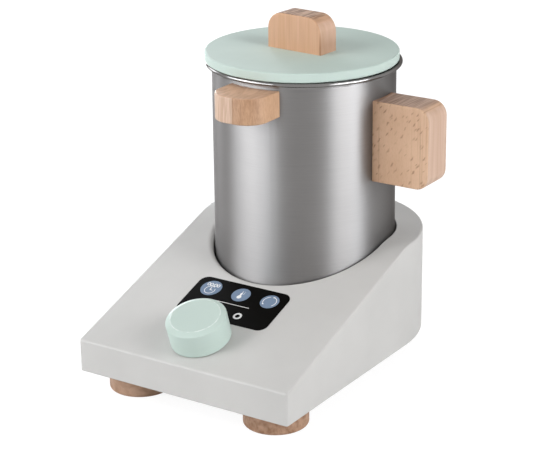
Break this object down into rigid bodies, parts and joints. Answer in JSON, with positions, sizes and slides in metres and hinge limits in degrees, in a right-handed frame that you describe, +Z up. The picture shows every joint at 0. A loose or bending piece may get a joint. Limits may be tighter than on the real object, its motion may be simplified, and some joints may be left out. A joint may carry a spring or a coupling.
{
  "type": "toy food processor",
  "caption": "Toy food processor: wedge-shaped wooden base with a turning knob, and a steel pot with a side handle, front grip and lid that lift off.",
  "frame": {"origin": "on the floor, below the middle of the part's bounding box", "axes": "+Z up, -Y out of the front edge below the controls, +X towards the pot's side handle"},
  "size_m": [0.1588, 0.1994, 0.2044],
  "materials": {
    "base_paint": "matt warm light grey paint",
    "board_paint": "matt light grey paint on board",
    "beech": "sanded and lightly oiled beech",
    "mint_gloss": "satin mint paint",
    "mint_matt": "matt mint paint",
    "panel_black": "printed black panel",
    "pot_steel": "fine brushing round the wall",
    "screw_steel": "zinc plated"
  },
  "bodies": {
    "base": {"base_block": "base_paint", "base_plate": "board_paint", "plate_screws": "screw_steel", "foot_front_left": "beech", "foot_front_right": "beech", "foot_rear_left": "beech", "foot_rear_right": "beech", "foot_screws": "screw_steel", "control_panel": "panel_black", "knob_dished_washer": "screw_steel"},
    "dial": {"knob": "mint_gloss", "knob_spindle": "beech", "knob_flat_washer": "screw_steel", "knob_screw": "screw_steel"},
    "pot": {"pot": "pot_steel", "pot_handle": "beech", "handle_screws": "screw_steel", "handle_cups": "screw_steel", "front_grip": "beech", "grip_screws": "screw_steel", "grip_cups": "screw_steel"},
    "lid": {"lid_disc": "mint_matt", "lid_plug": "mint_matt", "lid_handle": "beech", "lid_screws": "screw_steel"}
  },
  "joints": [
    {"name": "knob_turn", "type": "hinge", "parent": "base", "child": "dial", "pos_m": [-0.0107, -0.07644, 0.04009], "axis": [0, -0.3181, 0.948], "continuous": true},
    {"name": "pot_lift", "type": "slide", "parent": "base", "child": "pot", "axis": [0, 0, 1], "range_m": [0, 0.07]},
    {"name": "lid_lift", "type": "slide", "parent": "pot", "child": "lid", "axis": [0, 0, 1], "range_m": [0, 0.05]}
  ]
}
